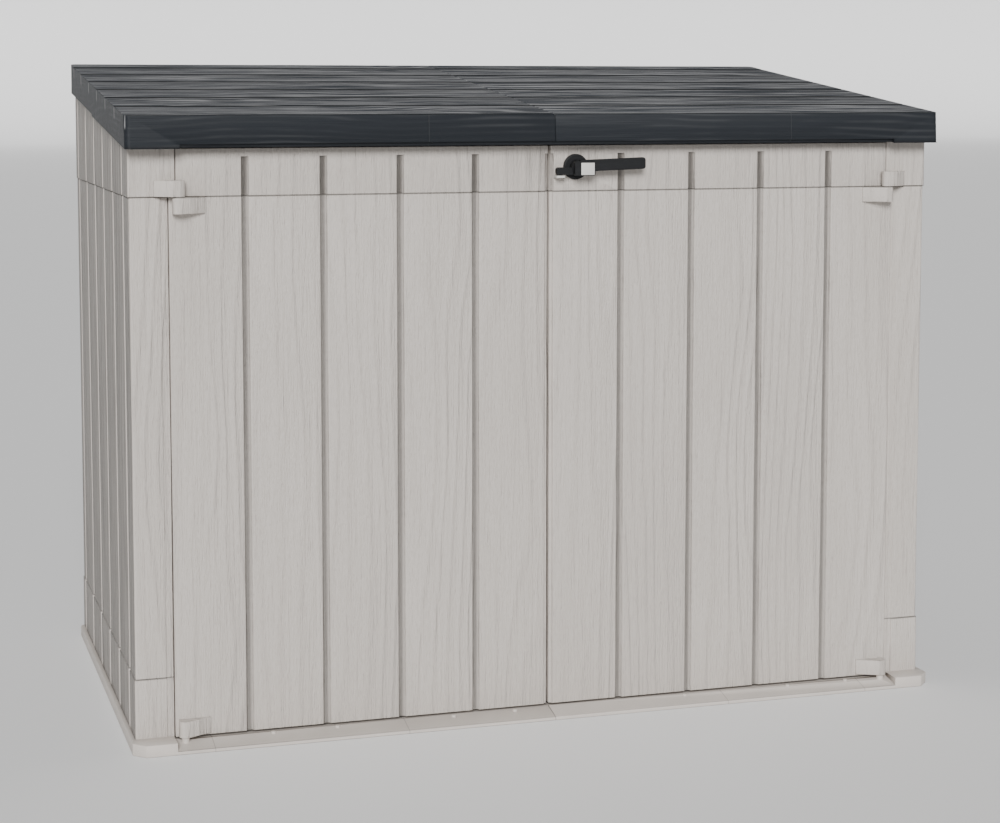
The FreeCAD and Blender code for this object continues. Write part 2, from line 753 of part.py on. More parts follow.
def make_lever():
    """The lever with its root block and its tail, on a hub that clears the round plate."""
    body = new_body("lever_handle")
    x, z = "handle_centre", "handle_height"
    bar = [
        (x, f"{z} - lever_low"),
        (f"{x} + lever_length", f"{z} - lever_low + lever_lift"),
        (f"{x} + lever_length", f"{z} + lever_high + lever_lift"),
        (x, f"{z} + lever_high"),
    ]
    pad(body, draw(body, "XZ_Plane", f"-{LEVER_BACK}", [bar]), "lever_thickness - root_step")
    tip = amount("handle_centre + lever_length")
    round_edges(body, "lever_low * 0.6", lambda edge: along_y(edge) and abs(edge.CenterOfMass.x - tip) < 0.01)
    bar_face = amount(f"{LEVER_FRONT} + root_step")
    round_edges(body, "1.5", lambda edge: abs(edge.CenterOfMass.y - bar_face) < 0.01)
    root = rectangle(f"{x} - root_left", f"{x} + root_right", f"{z} - root_low", f"{z} + root_high")
    pad(body, draw(body, "XZ_Plane", f"-{LEVER_BACK}", [root]), "lever_thickness")
    low = amount("handle_height - root_low")
    round_edges(body, "2.5", lambda edge: along_y(edge) and abs(edge.CenterOfMass.z - low) < 0.01)
    pad(body, draw(body, "XZ_Plane", f"-{HUB_BACK}", circles=[(x, z, "hub_radius")]), "lever_stand")
    tail = rectangle(f"{x} - tail_length", x, f"{z} - tail_low", f"{z} - tail_high")
    tail_back = f"({HUB_BACK} - tail_front + tail_depth)"
    pad(body, draw(body, "XZ_Plane", f"-{tail_back}", [tail]), "tail_depth")
    heel = amount("handle_centre - tail_length")
    round_edges(body, "tail_low / 3", lambda edge: along_y(edge) and abs(edge.CenterOfMass.x - heel) < 0.01)
    # the eye in the tail, above the lug's own, and the shaft's socket
    eye = draw(body, "XY_Plane", z, circles=[(EYE_X, EYE_Y, "eye_radius")])
    pocket(body, eye, "tail_low + 1")
    socket = draw(body, "XZ_Plane", f"-{HUB_BACK}", circles=[(x, z, "spindle_radius")])
    pocket(body, socket, "lever_stand / 2", backwards=True)


def make_lever_cap():
    body = new_body("lever_cap")
    left, low = "(handle_centre + cap_start)", "(handle_height - cap_low)"
    plate = rectangle(left, f"({left} + cap_width)", low, f"({low} + cap_height)")
    pad(body, draw(body, "XZ_Plane", f"-{LEVER_FRONT}", [plate]), "cap_thickness")


def make_padlock_lug():
    body = new_body("padlock_lug")
    left = f"({EYE_X} - lug_width / 2)"
    right = f"({EYE_X} + lug_width / 2)"
    reach = f"({FACE_Y} - lug_reach)"
    plate = draw(body, "XY_Plane", LUG_Z, [rectangle(left, right, reach, FACE_Y)])
    pad(body, plate, "lug_thickness", backwards=True)
    eye = draw(body, "XY_Plane", LUG_Z, circles=[(EYE_X, EYE_Y, "eye_radius")])
    pocket(body, eye, "lug_thickness")
    for corner in (left, right):
        round_edges(body, "lug_width / 4", upright_at(corner, reach))


def make_spindle_and_cam():
    spindle = doc.addObject("Part::Cylinder", "handle_spindle")
    spindle.Label = "handle_spindle"
    spindle.setExpression("Radius", bind("spindle_radius"))
    front = f"({HUB_BACK} - lever_stand / 2)"
    cam_face = f"({DOOR_BACK_Y} + cam_stand)"
    nut_face = f"({cam_face} + cam_thickness)"
    back = f"({nut_face} + nut_height + 1)"
    spindle.setExpression("Height", bind(f"{back} - {front}"))
    spindle.Placement = Placement(Vector(), Rotation(Vector(1, 0, 0), -90))
    spindle.setExpression("Placement.Base.x", bind("handle_centre"))
    spindle.setExpression("Placement.Base.y", bind(front))
    spindle.setExpression("Placement.Base.z", bind("handle_height"))
    shaft = ("handle_centre", "handle_height", "spindle_radius")
    cam = new_body("latch_cam")
    plate = rectangle(
        "handle_centre - cam_width / 2",
        "handle_centre + cam_width / 2",
        "handle_height - cam_length",
        "handle_height + cam_tail",
    )
    pad(cam, draw(cam, "XZ_Plane", f"-{cam_face}", [plate]), "cam_thickness", backwards=True)
    pocket(cam, draw(cam, "XZ_Plane", f"-{cam_face}", circles=[shaft]), "cam_thickness")
    round_edges(cam, "cam_width / 3", along_y)
    nut = new_body("cam_nut")
    corners = [
        (f"handle_centre + nut_radius * cos({60 * k})", f"handle_height + nut_radius * sin({60 * k})")
        for k in range(6)
    ]
    hexagon = draw(nut, "XZ_Plane", f"-{nut_face}", [corners], [shaft])
    pad(nut, hexagon, "nut_height", backwards=True)


def make_keeper():
    body = new_body("latch_keeper")
    edge_x = "(-door_gap / 2 - keeper_inset)"
    plate = rectangle(
        edge_x,
        f"({edge_x} - keeper_width)",
        "handle_height - keeper_drop",
        "door_top - keeper_margin",
    )
    pad(body, draw(body, "XZ_Plane", f"-{DOOR_BACK_Y}", [plate]), "keeper_thickness", backwards=True)
    inner = amount(f"{DOOR_BACK_Y} + keeper_thickness")
    round_edges(body, "1", lambda edge: abs(edge.CenterOfMass.y - inner) < 0.01)


def make_drop_bolt():
    body = new_body("door_bolt")
    y = f"({DOOR_BACK_Y} + bolt_stand)"
    rod = draw(body, "XY_Plane", "bolt_rest", circles=[("-bolt_inset", y, "bolt_radius")])
    pad(body, rod, "bolt_length")
    half_grip = "(bolt_radius - 1)"
    grip = rectangle(f"-bolt_inset - {half_grip}", f"-bolt_inset + {half_grip}", y, f"{y} + grip_reach")
    grip_low = "bolt_rest + bolt_length / 2 - grip_height / 2"
    pad(body, draw(body, "XY_Plane", grip_low, [grip]), "grip_height")
    low = amount("bolt_rest")
    round_edges(body, "2", lambda edge: abs(edge.CenterOfMass.z - low) < 0.01)
    guides = []
    for share in (0.12, 0.85):
        height = amount("bolt_rest") + amount("bolt_length") * share
        half = amount("bolt_radius + guide_wall")
        corner = Vector(-amount("bolt_inset") - half, amount(DOOR_BACK_Y), height)
        depth = amount("bolt_stand + bolt_radius + 3")
        block = Part.makeBox(2 * half, depth, amount("guide_height"), corner)
        axis = Vector(-amount("bolt_inset"), amount(y), height - 1)
        bore = Part.makeCylinder(amount("bolt_radius + guide_clearance"), amount("guide_height + 2"), axis)
        guides.append(block.cut(bore))
    solid_group("bolt_guides", guides)


# ---------------------------------------------------------------- lid
def lid_outline():
    """The lid's section from front to back, with the steps between its planks."""
    points = [
        (f"({LID_FRONT_Y} - fascia_flare)", "lid_front_height - fascia_front"),
        (LID_FRONT_Y, "lid_front_height"),
    ]
    for plank in range(lid_planks()):
        place = f"({LID_FRONT_Y} + lid_first + {plank} * lid_pitch)"
        points.append((f"{place} - lap_width", lid_top(f"{place} - lap_width")))
        points.append((f"{place} - 2", f"{lid_top(place)} - lap_depth"))
        points.append((place, lid_top(place)))
    points.append((f"({LID_BACK_Y} - fascia_flare)", lid_top(LID_BACK_Y)))
    points.append((LID_BACK_Y, f"{lid_top(LID_BACK_Y)} - fascia_back"))
    step = f"({LID_FRONT_Y} + fascia_step_place)"
    points.append((step, f"{lid_top(step)} - fascia_back + fascia_step / 2"))
    points.append((step, f"{lid_top(step)} - fascia_back - fascia_step / 2"))
    return points


def make_lid(name, side):
    body = new_body("lid_" + name)
    pad(body, draw(body, "YZ_Plane", "0", [lid_outline()]), LID_X, backwards=side < 0)
    front = f"({LID_FRONT_Y} + fascia_thickness)"
    back = f"({LID_BACK_Y} - fascia_thickness)"
    inside = [
        (f"{front} - fascia_flare", "lid_front_height - fascia_front - 20"),
        (f"{front} - fascia_flare", "lid_front_height - fascia_front"),
        (front, under_lid(front)),
        (f"({back} - fascia_flare)", under_lid(f"{back} - fascia_flare")),
        (back, f"{lid_top(LID_BACK_Y)} - fascia_back"),
        (back, "lid_front_height - fascia_front - 20"),
    ]
    hollow = draw(body, "YZ_Plane", "0", [inside])
    pocket(body, hollow, f"{LID_X} - fascia_thickness", backwards=side > 0)
    # the front edge is cut back over the doors
    relief_end = f"({DOOR_X} - post_strip - relief_inset)"
    relief = rectangle("0", times(side, relief_end), "lid_front_height - fascia_front - 1",
                       "lid_front_height - fascia_front + fascia_relief")
    ahead = draw(body, "XZ_Plane", "base_depth / 2 + 1", [relief])
    pocket(body, ahead, "lid_setback + fascia_thickness + 4")
    # a lip behind the cut closes it from inside
    lip_back = f"({front} + lip_depth)"
    lip_root = f"({front} - fascia_flare)"
    lip_low = "(lid_front_height - fascia_front + 1.5)"
    lip_step = "(lid_front_height - fascia_front + fascia_relief + 1)"
    lip = [
        (front, lip_low),
        (lip_back, lip_low),
        (lip_back, f"({lip_step} + lip_rise)"),
        (lip_root, f"({lip_step} + lip_rise)"),
        (lip_root, lip_step),
        (front, lip_step),
    ]
    pad(body, draw(body, "YZ_Plane", "0", [lip]), f"{relief_end} + lip_depth", backwards=side < 0)
    for y in (LID_FRONT_Y, LID_BACK_Y):
        corner_y = amount(y)
        corner_x = amount(LID_X)
        round_edges(
            body,
            "lid_corner",
            lambda edge: edge.BoundBox.XLength < 0.01
            and abs(abs(edge.CenterOfMass.x) - corner_x) < 0.01
            and abs(edge.CenterOfMass.y - corner_y) < 6
            and edge.BoundBox.ZLength > amount("fascia_front") * 0.8,
        )
    # ribs under the skin
    rib_back = f"({PANEL_INNER_Y} - 3)"
    rib_heel = f"({rib_back} - lid_rib_depth)"
    rib = [
        (front, f"{under_lid(front)} + 1"),
        (front, f"{under_lid(front)} - lid_rib_depth"),
        (rib_heel, f"{under_lid(rib_heel)} - lid_rib_depth"),
        (rib_back, under_lid(rib_back)),
        (rib_back, f"{under_lid(rib_back)} + 1"),
    ]
    first = draw(body, "YZ_Plane", times(side, "(strip_width / 2 + 40)"), [rib])
    beam = pad(body, first, "lid_rib", backwards=side < 0)
    span = f"({INNER_X} - strip_width / 2 - 40 - 2 * lid_rib)"
    repeat(body, beam, "X_Axis", "lid_rib_pitch", fitting(span, "lid_rib_pitch") + 1, side < 0)


def make_lid_strip():
    body = new_body("lid_joining_strip")
    front = f"({LID_FRONT_Y} + fascia_thickness + 6)"
    back = f"({PANEL_INNER_Y} - 8)"
    section = [
        (front, under_lid(front)),
        (front, f"{under_lid(front)} - strip_thickness"),
        (back, f"{under_lid(back)} - strip_thickness"),
        (back, under_lid(back)),
    ]
    pad(body, draw(body, "YZ_Plane", "-strip_width / 2", [section]), "strip_width")


def make_lid_screws():
    slope = Rotation(Vector(1, 0, 0), amount("lid_slope"))
    screws = []
    for across in (-18, 18):
        for place in range(fitting(f"({PANEL_INNER_Y} - {LID_FRONT_Y} - 80)", "lid_pitch") + 1):
            y = amount(f"{LID_FRONT_Y} + 60") + place * amount("lid_pitch")
            spot = Vector(across, y, amount(f"{under_lid(y)} - strip_thickness"))
            long_screw = screw(Vector(), Vector(0, 0, 1))
            spare = Part.makeBox(20, 20, 20, Vector(-10, -10, amount("strip_thickness") + 2.5))
            short_screw = long_screw.cut(spare)
            short_screw.Placement = Placement(spot, slope)
            screws.append(short_screw)
    solid_group("lid_screws", screws)


def hinge_places():
    return [side * amount(inset) for inset in ("outer_hinge", "inner_hinge") for _, side in SIDES]


def hinge_leaf(start, length, plate_y, plate_low, plate_high, bore):
    """A barrel on the lid's hinge axis with the flat leaf that carries it."""
    axis = Vector(start, amount(PIVOT_Y), amount(PIVOT_Z))
    barrel = Part.makeCylinder(amount("lid_knuckle"), length, axis, Vector(1, 0, 0))
    corner = Vector(start, plate_y, plate_low)
    plate = Part.makeBox(length, amount("leaf_thickness"), plate_high - plate_low, corner)
    hole = Part.makeCylinder(bore, length, axis, Vector(1, 0, 0))
    return barrel.fuse(plate).cut(hole).removeSplitter()


def make_lid_hinges():
    middle = amount("lid_knuckle_length")
    outer = middle / 2
    gap = amount("knuckle_gap")
    pivot_z = amount(PIVOT_Z)
    reach = amount("leaf_height")
    fixed = []
    moving = []
    pins = []
    for x in hinge_places():
        wall_y = amount(PANEL_Y)
        lid_y = amount(f"{LID_BACK_Y} - fascia_thickness - leaf_thickness - fascia_flare")
        for start in (x - middle / 2 - gap - outer, x + middle / 2 + gap):
            leaf = hinge_leaf(start, outer, wall_y, pivot_z - reach, pivot_z, amount("lid_pin"))
            reach_back = Part.makeBox(
                outer,
                amount(f"{PIVOT_Y} - {PANEL_Y} - lid_pin - 1"),
                4,
                Vector(start, wall_y, pivot_z - 4),
            )
            fixed.append(leaf.fuse(reach_back).removeSplitter())
        bore = amount("lid_pin + pin_clearance")
        moving.append(hinge_leaf(x - middle / 2, middle, lid_y, pivot_z, pivot_z + reach, bore))
        length = middle + 2 * outer + 2 * gap
        start = Vector(x - length / 2, amount(PIVOT_Y), pivot_z)
        pins.append(Part.makeCylinder(amount("lid_pin"), length, start, Vector(1, 0, 0)))
    solid_group("wall_hinge_leaves", fixed)
    solid_group("lid_hinge_leaves", moving)
    solid_group("lid_hinge_pins", pins)


# ---------------------------------------------------------------- gas struts
STRUT_X = f"({INNER_X} - strut_inset)"
LID_STUD = (
    f"({PIVOT_Y} - strut_arm * cos(strut_dip))",
    f"({PIVOT_Z} - strut_arm * sin(strut_dip))",
)
WALL_STUD = (
    f"({PIVOT_Y} - strut_arm * cos(strut_dip + strut_apex))",
    f"({PIVOT_Z} - strut_arm * sin(strut_dip + strut_apex))",
)


def place_strut(body, side, stud, turn):
    """Puts a strut part, modelled along its own Z, at a stud and leans it along the strut's line."""
    body.Placement = Placement(Vector(), Rotation(Vector(1, 0, 0), 30))
    body.setExpression("Placement.Base.x", bind(times(side, STRUT_X)))
    body.setExpression("Placement.Base.y", bind(stud[0]))
    body.setExpression("Placement.Base.z", bind(stud[1]))
    body.setExpression("Placement.Rotation.Angle", bind(f"strut_dip + strut_apex / 2 + {turn}"))


def strut_eye(body, neck_radius, neck_length):
    """The flat eye at a strut's end, and the neck that leads to it."""
    ring = [("0", "0", "eye_outer")]
    pad(body, draw(body, "YZ_Plane", "-4", circles=ring), "8")
    neck = [("0", "0", neck_radius)]
    pad(body, draw(body, "XY_Plane", "eye_outer / 2", circles=neck), f"{neck_length} - eye_outer / 2")
    bore = [("0", "0", "stud_radius + pin_clearance")]
    pocket(body, draw(body, "YZ_Plane", "-4", circles=bore), "8", backwards=True)


def make_strut(name, side):
    cylinder = new_body("strut_cylinder_" + name)
    strut_eye(cylinder, "3.4", "20")
    tube = draw(cylinder, "XY_Plane", "18", circles=[("0", "0", "tube_radius")])
    pad(cylinder, tube, "tube_length - 18")
    bore = draw(cylinder, "XY_Plane", "tube_length", circles=[("0", "0", "tube_bore")])
    pocket(cylinder, bore, "tube_length - 24")
    place_strut(cylinder, side, WALL_STUD, 0)
    rod = new_body("strut_rod_" + name)
    strut_eye(rod, "3.4", "20")
    pad(rod, draw(rod, "XY_Plane", "15", circles=[("0", "0", "rod_radius")]), "rod_length - 15")
    place_strut(rod, side, LID_STUD, 180)


def make_strut_brackets():
    """Plates with a stud: on the side walls, and hung from the lid."""
    half = amount("bracket_size") / 2
    on_wall = []
    on_lid = []
    stud_end = 5
    for _, side in SIDES:
        wall_x = side * amount(INNER_X)
        strut_x = side * amount(STRUT_X)
        y, z = (amount(text) for text in WALL_STUD)
        inward = Vector(-side, 0, 0)
        plate = Part.makeBox(3, 2 * half, 2 * half, Vector(min(wall_x, wall_x - side * 3), y - half, z - half))
        length = abs(wall_x - strut_x) + stud_end
        stud = Part.makeCylinder(amount("stud_radius"), length, Vector(wall_x, y, z), inward)
        collar = Part.makeCylinder(7, abs(wall_x - strut_x) - 4.5, Vector(wall_x, y, z), inward)
        on_wall.append(plate.fuse([stud, collar]).removeSplitter())
        y, z = (amount(text) for text in LID_STUD)
        plate_x = strut_x + side * 9
        low = z - 9
        top = amount(under_lid(y - half))
        hanger = Part.makeBox(3, 30, top - low, Vector(min(plate_x, plate_x + side * 3), y - 15, low))
        foot_corner = Vector(min(plate_x, plate_x + side * 3), y - half, top - 3)
        foot = Part.makeBox(3, 2 * half, 3, foot_corner)
        stud = Part.makeCylinder(amount("stud_radius"), 9 + stud_end, Vector(plate_x, y, z), inward)
        collar = Part.makeCylinder(6, 4.5, Vector(plate_x, y, z), inward)
        on_lid.append(hanger.fuse([foot, stud, collar]).removeSplitter())
    solid_group("strut_wall_brackets", on_wall)
    solid_group("strut_lid_brackets", on_lid)


def make_wall_screws():
    """Screws from inside, through the batten and into both back halves."""
    screws = []
    inner_y = amount(f"{PANEL_INNER_Y} - batten_thickness")
    span = amount(f"{wall_top(PANEL_INNER_Y)} - floor_top") - 160
    for row in range(5):
        height = amount("floor_top") + 80 + span * row / 4
        for across in (-1, 1):
            place = Vector(across * amount("batten_width") / 4, inner_y, height)
            screws.append(screw(place, Vector(0, 1, 0)))
    solid_group("wall_screws", screws)


# ---------------------------------------------------------------- the whole box
for side_name, sign in SIDES:
    make_floor(side_name, sign)
    make_side(side_name, sign, "lower", "floor_top", "skirt_top", "0")
    make_side(side_name, sign, "middle", "skirt_top", "seam_height", "middle_recess")
    make_side(side_name, sign, "upper", "seam_height", wall_top(f"{BACK_Y} + 2"), "0")
    make_back_panel(side_name, sign)
    make_door_lower(side_name, sign)
    make_door_upper(side_name, sign)
    make_door_rail(side_name, sign)
    make_door_screws(side_name, sign)
    make_lid(side_name, sign)
    make_strut(side_name, sign)
make_back_batten()
make_wall_screws()
make_door_hinge_pins()
make_escutcheon()
make_lever()
make_lever_cap()
make_padlock_lug()
make_spindle_and_cam()
make_keeper()
make_drop_bolt()
make_lid_strip()
make_lid_screws()
make_lid_hinges()
make_strut_brackets()
doc.recompute()

failed = [item.Label for item in doc.Objects if "Invalid" in item.State or "Error" in item.State]
if failed:
    raise ValueError("features that failed: " + ", ".join(failed))
NODE_TYPES = ("PartDesign::Body", "Part::Feature", "Part::Cylinder")
nodes = [item for item in doc.Objects if item.TypeId in NODE_TYPES]
for node in nodes:
    if node.Shape.isNull() or not node.Shape.isValid():
        raise ValueError(node.Label + " has no valid shape")
os.makedirs("parts", exist_ok=True)
for node in nodes:
    node.Shape.exportStep(f"parts/{node.Label}.step")
    print(node.Label, len(node.Shape.Solids), round(node.Shape.Volume / 1000, 1), "cm3")
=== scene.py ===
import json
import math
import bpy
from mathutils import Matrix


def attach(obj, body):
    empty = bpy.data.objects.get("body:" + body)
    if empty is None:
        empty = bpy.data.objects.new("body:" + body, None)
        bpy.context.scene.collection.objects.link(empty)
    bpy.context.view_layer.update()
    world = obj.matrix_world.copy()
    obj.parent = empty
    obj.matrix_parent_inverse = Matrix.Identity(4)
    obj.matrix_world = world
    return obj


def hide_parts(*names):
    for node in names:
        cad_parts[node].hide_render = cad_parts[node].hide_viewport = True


bl_info = {
    "name": "Deck storage box",
    "version": (1, 0, 0),
    "blender": (4, 5, 0),
    "location": "View3D > Sidebar > Storage box",
    "description": "Moulded finish, soft edges and studio stage for a jointed storage box",
    "category": "Object",
}

import bmesh
import bpy
from bpy.props import FloatProperty, FloatVectorProperty, PointerProperty
from mathutils import Vector

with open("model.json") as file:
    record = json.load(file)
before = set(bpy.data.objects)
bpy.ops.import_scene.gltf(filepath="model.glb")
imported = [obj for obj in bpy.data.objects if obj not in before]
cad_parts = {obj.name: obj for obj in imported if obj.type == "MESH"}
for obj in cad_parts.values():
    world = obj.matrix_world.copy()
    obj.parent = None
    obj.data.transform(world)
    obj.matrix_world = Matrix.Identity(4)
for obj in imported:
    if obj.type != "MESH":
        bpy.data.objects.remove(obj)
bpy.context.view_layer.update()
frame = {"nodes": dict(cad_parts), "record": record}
RECORD = frame["record"]
BODY_OF = {node: body for body, nodes in RECORD["behaviour"]["bodies"].items() for node in nodes}
SLOT_OF = {entry["node"]: entry["material_slot"] for entry in RECORD["subparts"]}

SIDES = ("left", "right")
WALLS = [f"side_{level}_{side}" for level in ("lower", "middle", "upper") for side in SIDES]
BACKS = ["back_panel_left", "back_panel_right", "back_batten"]
DOORS = [f"door_{level}_{side}" for level in ("lower", "upper") for side in SIDES]
LIDS = ["lid_left", "lid_right"]
FLOORS = ["floor_left", "floor_right"]
ZINC = [node for node, slot in SLOT_OF.items() if slot == "zinc_steel"]

# Places that the finishes follow, in metres
DOOR_PITCH = 0.1318
SIDE_PITCH = 0.135
SIDE_FIRST = -0.303
FACE_DEPTH = 0.3775
POST_EDGE = 0.6545
DOOR_EDGE = 0.62
CENTRE_EDGE = 0.02
SEAM_Z = 0.917
SKIRT_Z = 0.119
LID_PITCH = 0.127
LID_FIRST = -0.2765
LID_FRONT = -0.4095
LID_FRONT_TOP = 1.050
LID_RISE = 0.10934
# LID_CUT: heights over which the painted shade under the lid's front cut-out fades
LID_CUT = (0.9955, 1.0045)
# Fine joint lines: place along X and half width
RAMP_JOINTS = ((-0.5935, 0.0009), (-0.262, 0.0009), (0.0, 0.0012), (0.325, 0.0009), (0.5935, 0.0009))
LID_MOULD_LINES = ((-0.2225, 0.0010), (0.4380, 0.0010))
# Studs on the ramp
STUD_X = (-0.490, -0.380, -0.175, -0.064, 0.254, 0.455, 0.570)
STUD_Y = -0.3865
STUD_Z = 0.0135
# Stage
STAGE_SIZE = 80.0
STAGE_BACK = 8.0
STAGE_FOLD = 3.0
SUN_ENERGY = 4.2
SUN_ANGLE = math.radians(24)
SUN_WAY = Vector((0.26, 0.86, -0.44))
AIR_STRENGTH = 0.24
LENS = 75.76
SENSOR = 36.0
SHIFT = -0.14
CAMERA_PLACE = (-1.1487, -3.8058, 1.0934)
CAMERA_TURN = (math.pi / 2 - 0.08682, 0.0, -0.29994)


# ---------------------------------------------------------------- sizes and colours
class BoxSizes(bpy.types.PropertyGroup):
    edge: FloatProperty(
        name="Moulded edge",
        description="Radius on the long edges of the wall and door mouldings",
        default=0.0012,
        unit="LENGTH",
    )
    lid_edge: FloatProperty(
        name="Lid edge",
        description="Radius on the long edges of the lid and its planks",
        default=0.0016,
        unit="LENGTH",
    )
    long_edge: FloatProperty(
        name="Shortest rounded edge",
        description="Edges shorter than this keep their sharp corner",
        default=0.012,
        unit="LENGTH",
    )
    stud_radius: FloatProperty(
        name="Stud radius",
        description="Radius of the small studs under the doors",
        default=0.0042,
        unit="LENGTH",
    )
    stud_height: FloatProperty(
        name="Stud height",
        description="How far the small studs stand out of the ramp",
        default=0.0045,
        unit="LENGTH",
    )


class BoxColours(bpy.types.PropertyGroup):
    wall: FloatVectorProperty(
        name="Walls",
        description="Warm light grey of the walls, doors and floor",
        subtype="COLOR",
        default=(0.568, 0.522, 0.478),
    )
    lid: FloatVectorProperty(
        name="Lid edge",
        description="Anthracite of the lid's edges",
        subtype="COLOR",
        default=(0.0135, 0.0162, 0.0205),
    )
    # Pale grey of the lid's grain streaks; on the top faces it also stands for painted sheen on the
    # embossed grain
    lid_streak_sheen: FloatVectorProperty(
        name="Lid streaks",
        description="Lighter grey streaks on top of the lid",
        subtype="COLOR",
        default=(0.36, 0.362, 0.366),
    )
    grip: FloatVectorProperty(
        name="Grip",
        description="Near-black of the lever and its plate",
        subtype="COLOR",
        default=(0.0065, 0.0070, 0.0080),
    )
    cap: FloatVectorProperty(
        name="Cap",
        description="Light grey of the small square plate and the padlock tab",
        subtype="COLOR",
        default=(0.61, 0.60, 0.57),
    )
    floor_tone: FloatVectorProperty(
        name="Stage",
        description="Pale tone of the studio floor",
        subtype="COLOR",
        default=(0.86, 0.86, 0.86),
    )


def sizes():
    return bpy.context.scene.storage_box_sizes


def colours():
    return bpy.context.scene.storage_box_colours


# ---------------------------------------------------------------- shader writing
class Wire:
    """A socket that can be used in sums."""

    def __init__(self, tree, socket):
        self.tree = tree
        self.socket = socket

    def _math(self, kind, *others):
        values = [self, *others]
        return self.tree.node("ShaderNodeMath", {"operation": kind}, dict(enumerate(values)))[0]

    def __add__(self, other):
        return self._math("ADD", other)

    def __radd__(self, other):
        return self + other

    def __sub__(self, other):
        return self._math("SUBTRACT", other)

    def __rsub__(self, other):
        return self * -1 + other

    def __mul__(self, other):
        return self._math("MULTIPLY", other)

    def __rmul__(self, other):
        return self * other

    def __truediv__(self, other):
        return self._math("DIVIDE", other)

    def floor(self):
        return self._math("FLOOR")

    def sine(self):
        return self._math("SINE")

    def size(self):
        return self._math("ABSOLUTE")

    def above(self, limit):
        return self._math("GREATER_THAN", limit)

    def power(self, exponent):
        return self._math("POWER", exponent)

    def ramp(self, low, high, start=0.0, end=1.0):
        """Runs smoothly from start to end as the value goes from low to high."""
        names = {"Value": self, "From Min": low, "From Max": high, "To Min": start, "To Max": end}
        return self.tree.node("ShaderNodeMapRange", {"interpolation_type": "SMOOTHSTEP"}, names)[0]


class Finish:
    """A material with one principled shader, written as sums."""

    def __init__(self, name):
        self.material = bpy.data.materials.new(name)
        self.material.use_nodes = True
        self.nodes = self.material.node_tree.nodes
        self.links = self.material.node_tree.links
        self.nodes.clear()
        self.shader = self.nodes.new("ShaderNodeBsdfPrincipled")
        output = self.nodes.new("ShaderNodeOutputMaterial")
        self.links.new(self.shader.outputs[0], output.inputs["Surface"])
        self.place = self.node("ShaderNodeTexCoord", {}, {})
        self.object = self.output(self.place, "Object")
        self.facing = self.output(self.place, "Normal")

    def node(self, kind, settings, inputs):
        made = self.nodes.new(kind)
        for name, value in settings.items():
            setattr(made, name, value)
        for name, value in inputs.items():
            self.feed(made.inputs[name], value)
        return [Wire(self, socket) for socket in made.outputs]

    def output(self, wires, name):
        return next(wire for wire in wires if wire.socket.name == name)

    def feed(self, socket, value):
        if isinstance(value, Wire):
            self.links.new(value.socket, socket)
        else:
            socket.default_value = value

    def set(self, **values):
        for name, value in values.items():
            self.feed(self.shader.inputs[name.replace("_", " ").title().replace("Ior", "IOR")], value)

    def split(self, vector):
        return self.node("ShaderNodeSeparateXYZ", {}, {"Vector": vector})

    def join(self, x, y, z):
        return self.node("ShaderNodeCombineXYZ", {}, {"X": x, "Y": y, "Z": z})[0]

    def noise(self, vector, scale, detail=3.0, roughness=0.5, distortion=0.0):
        inputs = {
            "Vector": vector,
            "Scale": scale,
            "Detail": detail,
            "Roughness": roughness,
            "Distortion": distortion,
        }
        return self.node("ShaderNodeTexNoise", {}, inputs)[0]

    def mix(self, share, first, second):
        made = self.nodes.new("ShaderNodeMix")
        made.data_type = "RGBA"
        self.feed(made.inputs["Factor"], share)
        first_socket, second_socket = (s for s in made.inputs if s.type == "RGBA")
        for socket, value in ((first_socket, first), (second_socket, second)):
            self.feed(socket, value)
        return Wire(self, next(s for s in made.outputs if s.type == "RGBA"))

    def relief(self, height, strength, distance):
        inputs = {"Height": height, "Strength": strength, "Distance": distance}
        self.feed(self.shader.inputs["Normal"], self.node("ShaderNodeBump", {}, inputs)[0])


def rgba(colour, share=1.0):
    return tuple(min(1.0, channel * share) for channel in colour) + (1.0,)


def line_at(position, place, width):
    """1 on a thin line where position equals place, and 0 away from it."""
    return (position - place).size().ramp(width * 0.4, width, 1.0, 0.0)


def lines_at(position, places):
    """Several such lines, each given as its place and width."""
    first, *others = (line_at(position, place, width) for place, width in places)
    for line in others:
        first = first + line
    return first


def wood_rings(finish, along, across, seed, along_scale, across_scale, turns, spacing):
    """Nested long loops, as sawn boards show them, from 0 to 1."""
    place = finish.join(across * across_scale + seed, along * along_scale + seed * 1.7, seed)
    drift = finish.noise(place, 1.0, 1.5, 0.4, 0.35)
    return (drift * turns + across * (2 * math.pi / spacing)).sine() * 0.5 + 0.5


